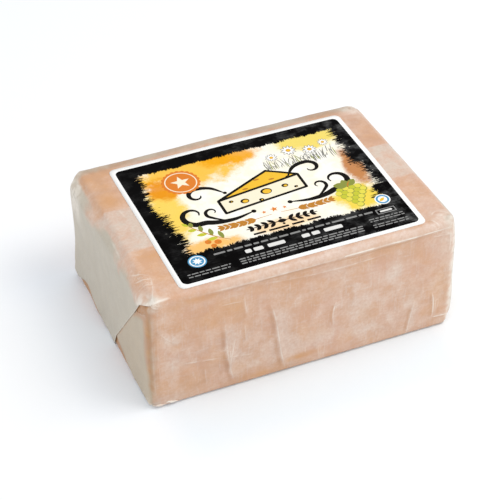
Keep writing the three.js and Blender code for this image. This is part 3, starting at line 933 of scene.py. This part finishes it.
def scalloped(u, v, radius, lobes, depth, sides=96):
    angle = np.linspace(0, 2 * np.pi, sides, endpoint=False)
    return ring(u, v, radius - depth * (1 - np.abs(np.cos(lobes * angle / 2))), angle)


def star(u, v, radius, points=5, waist=0.42):
    k = np.arange(2 * points)
    return ring(u, v, radius * np.where(k % 2, waist, 1.0), np.pi / 2 + k * np.pi / points)


def leaf(u, v, length, width, angle, sides=14):
    """A pointed oval from its root at (u, v)."""
    t = np.linspace(0, 1, sides)
    half = width / 2 * np.sin(np.pi * t) ** 0.8
    along = np.concatenate([t, t[-2:0:-1]]) * length
    off = np.concatenate([half, -half[-2:0:-1]])
    turn = np.array([[math.cos(angle), math.sin(angle)], [-math.sin(angle), math.cos(angle)]])
    return np.stack([along, off], -1) @ turn + np.array([u, v])


def curve_through(points, steps=40):
    """A smooth curve through points, with its directions."""
    points = np.array(points, float)
    at = np.concatenate([[0], np.cumsum(np.linalg.norm(np.diff(points, axis=0), axis=1))])
    slope = np.gradient(points, at, axis=0)
    t = np.linspace(0, at[-1], steps)
    k = np.clip(np.searchsorted(at, t, side="right") - 1, 0, len(points) - 2)
    span = (at[k + 1] - at[k])[:, None]
    s = (t - at[k])[:, None] / span
    curve = (2 * s**3 - 3 * s**2 + 1) * points[k] + (s**3 - 2 * s**2 + s) * span * slope[k]
    curve = curve + (3 * s**2 - 2 * s**3) * points[k + 1] + (s**3 - s**2) * span * slope[k + 1]
    direction = np.gradient(curve, axis=0)
    return curve, direction / np.linalg.norm(direction, axis=1)[:, None]


def pen_stroke(points, thin, thick, steps=40):
    """Outlines of a pen stroke that swells in its middle, as overlapping quads."""
    curve, direction = curve_through(points, steps)
    swell = thin + (thick - thin) * np.sin(np.pi * np.linspace(0, 1, steps))
    side = direction[:, ::-1] * (-1, 1) * swell[:, None] / 2
    a, b = curve + side, curve - side
    return list(np.stack([a[:-1], b[:-1], b[1:], a[1:]], 1))


def drawn_line(corners, width):
    """A line of even width through corners, with round joints."""
    shapes = [disc(u, v, width / 2, sides=10) for u, v in corners]
    for start, end in pairwise(np.array(corners, float)):
        side = (end - start)[::-1] * (-1, 1) / np.linalg.norm(end - start) * width / 2
        shapes.append(np.array([start + side, start - side, end - side, end + side]))
    return shapes


def word_bars(rng, left, right, v, height):
    """A row of plain bars, as long as words."""
    bars = []
    while left < right - height:
        width = min(height * rng.uniform(1.5, 5.5), right - left)
        bars.append(rounded_box(left + width / 2, v, width, height, 0.3 * height, 2))
        left += width + 0.8 * height
    return bars


def wheat_ear(points, kernels, size):
    """The shapes of an ear of wheat along a curve."""
    curve, direction = curve_through(points)
    heading = [math.atan2(v, u) for u, v in direction]
    shapes = pen_stroke(points, 0.3, 0.5)
    for k in range(kernels):
        index = int(14 + k * (len(curve) - 15) / (kernels - 1))
        for side in (-0.55, 0.55):
            shapes.append(leaf(*curve[index], size, 0.42 * size, heading[index] + side))
    return [*shapes, leaf(*curve[-1], size, 0.42 * size, heading[-1])]


INKS = {
    "white": (251, 250, 247), "black": (26, 23, 21), "print": (140, 139, 137), "bold": (226, 224, 220),
    "orange": (222, 128, 50), "cream": (247, 236, 208), "gold": (240, 190, 60), "ochre": (190, 128, 52),
    "olive": (140, 146, 70), "green": (196, 196, 62), "lime": (226, 214, 84), "grey": (128, 126, 120),
    "blue": (84, 150, 190),
}


def mirrored(shapes):
    return [shape * (-1, 1) for shape in shapes]


def finely(shape, step=3.0):
    """The same outline with its long sides divided, so that it can follow the paper."""
    points = []
    for start, end in zip(shape, np.roll(shape, -1, axis=0)):
        count = max(1, math.ceil(np.linalg.norm(end - start) / step))
        points.append(start + (end - start) * np.arange(count)[:, None] / count)
    return np.concatenate(points)


def counterclockwise(shape):
    ahead = np.roll(shape, -1, axis=0)
    turn = (shape[:, 0] * ahead[:, 1] - shape[:, 1] * ahead[:, 0]).sum()
    return shape if turn > 0 else shape[::-1]


def scroll(u, v, radius, start, turn, shrink=0.3, steps=9):
    """Points of a spiral that closes in on (u, v)."""
    t = np.linspace(0, 1, steps)
    reach = radius * shrink**t
    return [(u + r * math.cos(a), v + r * math.sin(a)) for r, a in zip(reach, start + turn * t)]


def centre_motif():
    """A wedge of cheese in line, between pen flourishes and over a wreath of wheat."""
    tip, back, right = (-28, 6), (11, 24), (28, 13)
    low_tip, low_right = (-28, -7), (28, -1)
    holes = (
        (-13, 0, 2.8), (3, 4.2, 3.7), (16, 5.2, 2.2), (-3, -2.6, 1.6), (-21, 2.6, 1.5), (22, 1.6, 1.3),
    )
    sweeps = (
        ([(-12, -11.5), (-26, -14), (-39, -12), *scroll(-47, -1, 11, -1.1, -5.6)], 0.8, 4.4, 90),
        ([(-21, 12.5), (-29, 21), *scroll(-38, 16, 7.5, 1.1, 5.0)], 0.7, 3.4, 60),
        ([(-30, -13.4), (-37, -8), *scroll(-35.5, -2.4, 4.8, -2.6, -4.6, 0.35, 7)], 0.5, 2.3, 50),
    )
    left = [shape for sweep in sweeps for shape in pen_stroke(*sweep)]
    left += [disc(-12, -11.5, 1.6), disc(-21, 12.5, 1.3)]
    wheat = wheat_ear([(-3, -18.4), (-12, -19), (-22, -19.6), (-34, -19)], 8, 4.8)
    outline = drawn_line([tip, back, right, tip, low_tip, low_right, right], 1.9)
    fine = ((-17, 8), (-4.5, 13), (8, 8), (18.5, 9))
    return [
        ("gold", [np.array([tip, right, back])]),
        ("cream", [np.array([tip, low_tip, low_right, right])]),
        ("black", [disc(u, v, radius, 0.8) for u, v, radius in holes]),
        ("gold", [disc(u + 0.3, v - 0.3, radius - 1.0, 0.8) for u, v, radius in holes]),
        ("ochre", [disc(u, v, 1.9, 0.4) for u, v in ((2, 17.5), (11, 14.5), (-8, 11.2))]),
        ("black", outline + left + mirrored(left)),
        ("ochre", wheat + mirrored(wheat)),
        ("orange", [star(0, -14.4, 2.6), star(-6.8, -14.9, 1.6), star(6.8, -14.9, 1.6)]),
        ("black", garland(0, -26.5, 23)),
        ("black", [rounded_box(u, -32.2, width, 1.7, 0.5, 3) for u, width in fine]),
    ]


def garland(u, v, half):
    """Pairs of leaves and dots on a line, from a bud in the middle."""
    shapes = drawn_line([(u - half, v), (u + half, v)], 0.7)
    shapes += [leaf(u - 3, v, 6, 3.6, 0.0), disc(u, v + 2.9, 0.9), disc(u, v - 2.9, 0.9)]
    for k in range(4):
        root = u + 4.4 + k * (half - 6) / 3.6
        for tilt in (0.7, -0.7):
            right = leaf(root, v, 5.6 - 0.5 * k, 2.5, tilt)
            shapes += [right, (2 * u, 0) + right * (-1, 1)]
    return shapes


def seal(u, v):
    """A plain scalloped seal with a star."""
    outer, inner = (disc(u, v, radius, sides=48) for radius in (10.2, 9.5))
    layers = (scalloped(u, v, 12.5, 22, 1.1), outer, inner, star(u, v, 6.4))
    return [(ink, [shape]) for ink, shape in zip(("orange", "cream") * 2, layers)]


def grapes(u, v):
    """A bunch of pale grapes under one leaf."""
    rng = np.random.default_rng(5)
    art = []
    for row, count in enumerate((4, 5, 4, 3, 2, 1)):
        for k in range(count):
            at_u = u + (k - (count - 1) / 2) * 4.1 + rng.normal(0, 0.2)
            at_v = v + 7 - row * 3.4 + rng.normal(0, 0.2)
            art += [
                ("olive", [disc(at_u, at_v, 2.35, sides=20)]),
                (("green", "lime")[(row + k) % 2], [disc(at_u - 0.15, at_v + 0.2, 2.0, sides=20)]),
            ]
    leaves = [leaf(u, v + 9, 9, 6, 2.7), leaf(u + 0.5, v + 9, 8, 5, 0.7), leaf(u, v + 9, 7, 5, 1.7)]
    return art + [
        ("olive", leaves),
        ("ochre", pen_stroke([(u, v + 8), (u + 1, v + 11), (u + 3, v + 13)], 0.5, 0.9, 12)),
    ]


def sprig(u, v):
    """A leafy sprig with berries, which leans to the left."""
    points = [(u + 11, v - 9), (u + 4, v - 3), (u - 2, v + 4), (u - 8, v + 12)]
    curve, direction = curve_through(points)
    heading = [math.atan2(v, u) for u, v in direction]
    leaves = [
        leaf(*curve[index], 8 - 0.5 * k, 3.0, heading[index] + (0.8 if k % 2 else -0.8))
        for k, index in enumerate(range(6, 38, 5))
    ]
    leaves.append(leaf(*curve[-1], 5, 2.2, heading[-1]))
    berries = [disc(u + 3, v - 8, 2.2), disc(u - 2.5, v - 6, 2.0), disc(u - 0.5, v - 10.5, 1.8)]
    return [
        ("olive", leaves[::2]),
        ("green", leaves[1::2]),
        ("ochre", pen_stroke(points, 0.4, 0.7)),
        ("orange", berries),
        ("ochre", [disc(berry[:, 0].mean() + 0.5, berry[:, 1].mean() - 0.5, 0.7) for berry in berries]),
    ]


def meadow():
    """Daisies over blades of grass, in grey line."""
    rng = np.random.default_rng(23)
    art = []
    for k in range(64):
        u, v = rng.uniform(12, 60), rng.uniform(20, 24.5)
        tall, lean = rng.uniform(3, 11), rng.normal(0, 1.6)
        blade = [(u, v), (u + 0.3 * lean, v + 0.6 * tall), (u + lean, v + tall)]
        art.append((("grey", "olive", "grey", "print")[k % 4], pen_stroke(blade, 0.15, 0.6, 6)))
    turns = [k * np.pi / 5 for k in range(10)]
    for u, v, size in ((20, 35, 4.2), (33, 38, 5.4), (46, 34, 5.0), (57, 38, 3.8)):
        stalk = [(u, v - size), (u - 0.6, v - 1.7 * size), (u - 1.5, v - 2.8 * size)]
        art += [
            ("grey", pen_stroke(stalk, 0.4, 0.6, 10)),
            ("grey", [leaf(u, v, size, 0.44 * size, turn) for turn in turns]),
            ("white", [leaf(u, v, 0.9 * size, 0.28 * size, turn) for turn in turns]),
            ("ochre", [disc(u, v, 0.3 * size, sides=20)]),
            ("gold", [disc(u, v, 0.22 * size, sides=20)]),
        ]
    return art


def small_print():
    """Rows of plain bars and two plain roundels on the lower band."""
    rng = np.random.default_rng(17)
    rows = [(-50, 56, -40.2, 1.5)]
    rows += [(-38, 42, v, 1.0) for v in (-50.4, -52.5, -54.6)]
    rows += [(48, 71, v, 0.9) for v in (-46.6, -48.7, -52.4, -54.5)]
    rows += [(-71, -44, v, 0.9) for v in (-51.8, -54.2)]
    bold = ((-30, 4), (-23.5, 6), (-12, 11), (7, 5), (13.5, 5), (25, 12))
    box = [(56, -39.6), (56, -43.6), (68, -43.6), (68, -39.6), (56, -39.6)]
    return [
        ("print", [bar for row in rows for bar in word_bars(rng, *row)]),
        ("bold", [rounded_box(u, -45.2, width, 3.2, 0.8, 3) for u, width in bold]),
        ("print", drawn_line(box, 0.7)),
        ("bold", [rounded_box(62, -41.6, 8, 1.6, 0.5, 2)]),
        ("blue", [disc(-61, -42, 5.6)]),
        ("white", [disc(-61, -42, 4.8), disc(65, -31, 4.9)]),
        ("blue", [disc(-61, -42, 4.0), disc(65, -31, 4.2)]),
        ("white", [star(-61, -42, 3.2, 8, 0.5), disc(65, -31, 2.9)]),
        ("gold", [leaf(62.6, -32.4, 4.8, 2.2, 0.6)]),
    ]


def label_art():
    """Everything printed on the label as (ink, outlines), from the lowest layer to the highest."""
    return meadow() + centre_motif() + seal(-42, 33) + grapes(51, -20) + sprig(-46, -22) + small_print()


def label_sheet(material):
    """The sticker, cut into faces along the outlines of its print, which follows the paper under it."""
    field = [side - 2 * LABEL_BORDER for side in LABEL_SIZE]
    outlines = [finely(rounded_box(0, 0, *LABEL_SIZE, LABEL_RADIUS))]
    outlines.append(finely(rounded_box(0, 0, *field, LABEL_RADIUS - 0.4)))
    inks = [colour(*INKS["white"]), (0, 0, 0, 0)]
    for ink, shapes in label_art():
        outlines += [finely(counterclockwise(shape)) for shape in shapes]
        inks += [colour(*INKS[ink])] * len(shapes)
    grid = np.meshgrid(*(np.arange(-reach, reach + 1, LABEL_STEP) for reach in LABEL_GRID_REACH))
    grid = np.stack(grid, -1).reshape(-1, 2)
    given = [Vector(point) for points in (*outlines, grid) for point in points]
    ends = np.cumsum([0, *map(len, outlines)])
    loops = [list(range(first, last)) for first, last in pairwise(ends)]
    flat, _, faces, _, _, under = delaunay_2d_cdt(given, [], loops, 1, JOIN_WITHIN)
    flat, faces, many = np.array([tuple(point) for point in flat]), np.array(faces), len(flat)
    a, b, c = flat[faces].transpose(1, 2, 0)
    area = (b[0] - a[0]) * (c[1] - a[1]) - (b[1] - a[1]) * (c[0] - a[0])
    faces[area < 0] = faces[area < 0][:, ::-1]
    kept = np.abs(area) > LEAST_AREA
    faces = faces[kept]
    print_inks = np.array([inks[max(layers)] for layers in under])[kept]

    edges = [tuple(edge) for pair in ([0, 1], [1, 2], [2, 0]) for edge in faces[:, pair].tolist()]
    known = set(edges)
    walls = [(j, i, i + many, j + many) for i, j in edges if (j, i) not in known]
    every = faces.tolist() + (faces[:, ::-1] + many).tolist() + walls
    p, out = block_form(np.column_stack([flat + LABEL_MIDDLE, np.full(many, HALF[2])]))
    p[:, 2] += LABEL_GAP + paper_relief(p, out)[0]
    points = np.concatenate([p + (0, 0, LABEL_THICKNESS), p])
    piece = add_piece("label_sheet", points, every, material, rim=len(walls))
    face_inks = np.full((len(every), 4), inks[0], np.float32)
    face_inks[: len(faces)] = print_inks
    piece.data.attributes.new("ink", "FLOAT_COLOR", "FACE").data.foreach_set("color", face_inks.ravel())
    return piece


def label_material():
    """Satin print: a black panel with painted soft reflections that grow towards its right, a brushed
    pale field washed with yellows, and flat inks over both.
    """
    paint = Paint("label_paper", roughness=0.32, specular=0.015)
    minus, mix, ramp, times = paint.minus, paint.mix, paint.ramp, paint.times
    places = zip(paint.level_place(), LABEL_MIDDLE)
    u, v = (minus(paint.math("DIVIDE", place, MM), middle) for place, middle in places)
    grain = paint.noise(1.1, 3, 0.6)
    cloud = paint.noise(9, 3, 0.6)
    level = paint.noise(0.7, 4, 0.7, paint.stretched((0.1, 1.0, 1.0)))
    upright = paint.noise(0.7, 4, 0.7, paint.stretched((1.0, 0.16, 1.0)))

    def stroke(left, right, low, high, ragged):
        """A broad brush stroke along the label, ragged at its ends and a little along its sides."""
        ends = paint.math("MINIMUM", minus(u, left), minus(right, u))
        sides = paint.math("MINIMUM", minus(v, low), minus(high, v))
        ends = paint.stirred(ends, (level, ragged), (cloud, 12.0))
        sides = paint.stirred(sides, (upright, 7.0), (cloud, 6.0))
        return ramp(paint.math("MINIMUM", ends, sides), -0.15, 0.35)

    def squared(at, middle, half):
        return paint.math("POWER", paint.math("DIVIDE", minus(at, middle), half), 2.0)

    def wash(at_u, at_v, half_u, half_v):
        """A soft blot round a place."""
        far = paint.math("ADD", squared(u, at_u, half_u), squared(v, at_v, half_v))
        far = paint.stirred(paint.math("SQRT", far), (cloud, 1.2), (grain, 0.25))
        return ramp(far, 0.55, 1.1, 1.0, 0.0)

    field = 0.0
    strokes = (
        (-64, 66, 24, 49, 24), (-66, 64, 4, 29, 26), (-63, 68, -16, 9, 26), (-62, 64, -35, -11, 24),
    )
    for bounds in strokes:
        field = paint.math("MAXIMUM", field, stroke(*bounds))
    ground = mix(ramp(cloud, 0.35, 0.65), colour(252, 249, 240), colour(250, 243, 222))
    washes = (
        ((-34, 44, 42, 20), (247, 188, 8)), ((-60, 10, 14, 34), (248, 206, 64)),
        ((-6, 47, 24, 9), (240, 164, 8)), ((-56, 30, 12, 14), (232, 142, 4)),
        ((50, 45, 28, 12), (238, 212, 84)), ((64, 6, 8, 24), (188, 112, 30)),
        ((54, -24, 20, 14), (238, 206, 24)), ((-48, -32, 22, 8), (243, 186, 90)),
        ((2, -30, 24, 7), (248, 214, 166)),
    )
    for place, shade in washes:
        ground = mix(times(wash(*place), 0.9), ground, colour(*shade))
    # Painted soft reflections on the black panel, stronger towards its right
    painted_reflection = times(ramp(cloud, 0.42, 0.7), ramp(level, 0.3, 0.65))
    panel = mix(times(painted_reflection, ramp(u, -20, 75, 0.12, 0.7)), colour(6, 5, 5), colour(104, 104, 103))
    tone = mix(field, panel, ground)
    tone = mix(paint.attribute("ink", "Alpha"), tone, paint.attribute("ink", "Color"))
    paint.set("Base Color", mix(1.0, tone, ramp(grain, 0.3, 0.7, 0.965, 1.0), "MULTIPLY"))
    paint.set("Roughness", ramp(grain, 0.3, 0.7, 0.28, 0.38))
    paint.bump(paint.noise(3, 2), 0.1, 0.1)
    return paint.material


# The camera, as it stood in the photograph
CAMERA_AZIMUTH = math.radians(-23.27)
CAMERA_ELEVATION = math.radians(38.95)
CAMERA_LENS = 118.3
CAMERA_DISTANCE = 1031.2
CAMERA_ASIDE = (-6.14, -1.95)
SENSOR_WIDTH = 36
AIM_HEIGHT = 41.77

# The soft square lamp and the even light all round, and half the floor's width in metres
LAMP_PLACE = Vector((415, -261, 983))
LAMP_TARGET = Vector((0, 0, 30))
LAMP_SIZE = 600
LAMP_POWER = 4.0
LAMP_TINT = (1.0, 0.985, 0.96)
AIR_TINT = (0.975, 0.995, 1.02, 1)
AIR_STRENGTH = 0.86
FLOOR_REACH = 6.0


def add_camera():
    level = math.cos(CAMERA_ELEVATION)
    sine, cosine = math.sin(CAMERA_AZIMUTH), math.cos(CAMERA_AZIMUTH)
    back = Vector((sine * level, -cosine * level, math.sin(CAMERA_ELEVATION)))
    right = (-back).cross(Vector((0, 0, 1))).normalized()
    up = right.cross(-back)
    place = Vector((0, 0, AIM_HEIGHT)) + back * CAMERA_DISTANCE
    place += right * CAMERA_ASIDE[0] + up * CAMERA_ASIDE[1]
    camera = link("camera", bpy.data.cameras.new("camera"))
    camera.data.lens = CAMERA_LENS
    camera.data.sensor_width = SENSOR_WIDTH
    turn = Matrix((right, up, back)).transposed().to_4x4()
    camera.matrix_world = Matrix.Translation(place * MM) @ turn
    bpy.context.scene.camera = camera


def add_lights():
    world = bpy.data.worlds.new("studio")
    world.use_nodes = True
    background = world.node_tree.nodes["Background"]
    background.inputs["Color"].default_value = AIR_TINT
    background.inputs["Strength"].default_value = AIR_STRENGTH
    bpy.context.scene.world = world
    bpy.context.scene.view_settings.view_transform = "Standard"
    lamp = bpy.data.lights.new("key", "AREA")
    lamp.size = LAMP_SIZE * MM
    lamp.energy = LAMP_POWER
    lamp.color = LAMP_TINT
    holder = link("key", lamp)
    holder.location = LAMP_PLACE * MM
    holder.rotation_euler = (LAMP_PLACE - LAMP_TARGET).to_track_quat("Z", "Y").to_euler()


def add_floor():
    """A white floor, with a painted cool tint before the block that cancels the warm light bounced onto
    it, a painted shadow at its far left, and a faint painted glow beside the block's left end that lifts
    the shade there."""
    paint = Paint("floor", roughness=0.9, specular=0.0)
    x, y = paint.level_place()

    def near(at, place, low, high):
        """1 as near to a place in millimetres as low, and 0 as far off as high, in metres."""
        return paint.ramp(paint.distance(at, place * MM), low, high, 1.0, 0.0)

    # Painted cool tint before the block, against the warm light that the block bounces onto the floor
    before = paint.times(near(y, FRONT - 15, 0.015, 0.055), near(x, 0, 0.08, 0.11))
    beyond = near(x, LEFT - 10, 0.01, 0.06)
    # Painted shadow on the floor behind the block's left end
    corner = paint.times(near(y, BACK + 18, 0.0, 0.05), beyond)
    # Painted light: the floor glows faintly beside the left end, to lift the shade there
    beside = paint.times(beyond, near(y, 0, 0.055, 0.1))
    tone = paint.mix(before, colour(251, 252, 253), colour(242, 250, 255))
    paint.set("Base Color", paint.mix(corner, tone, colour(243, 245, 248)))
    paint.set("Emission Color", paint.mix(beside, (0, 0, 0, 1), (0.035, 0.05, 0.075, 1)))
    paint.set("Emission Strength", 1.0)
    mesh = bpy.data.meshes.new("floor")
    corners = [(x * FLOOR_REACH, y * FLOOR_REACH, 0) for x, y in ((-1, -1), (1, -1), (1, 1), (-1, 1))]
    mesh.from_pydata(corners, [], [(0, 1, 2, 3)])
    mesh.materials.append(paint.material)
    floor = link("floor", mesh)


add_camera()
add_lights()
add_floor()

paper = paper_material()
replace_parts(wrap_skin(paper), "wrapped_cheese")
for side, is_right in (("left", False), ("right", True)):
    end_flap(f"end_flap_{side}", paper, is_right)
    side_fold(f"side_fold_{side}", paper, is_right)
    base_tongue(f"base_tongue_{side}", paper, is_right)
crimp("corner_crimp_a", paper, (LEFT + 1.0, FRONT + 1.6, 2.4), (LEFT + 8.6, FRONT, 2.1), 1.1, 3)
crimp("corner_crimp_b", paper, (LEFT + 9.2, FRONT - 0.2, 3.6), (LEFT + 16.5, FRONT - 0.1, 2.4), 0.85, 4)
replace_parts(label_sheet(label_material()), "label")
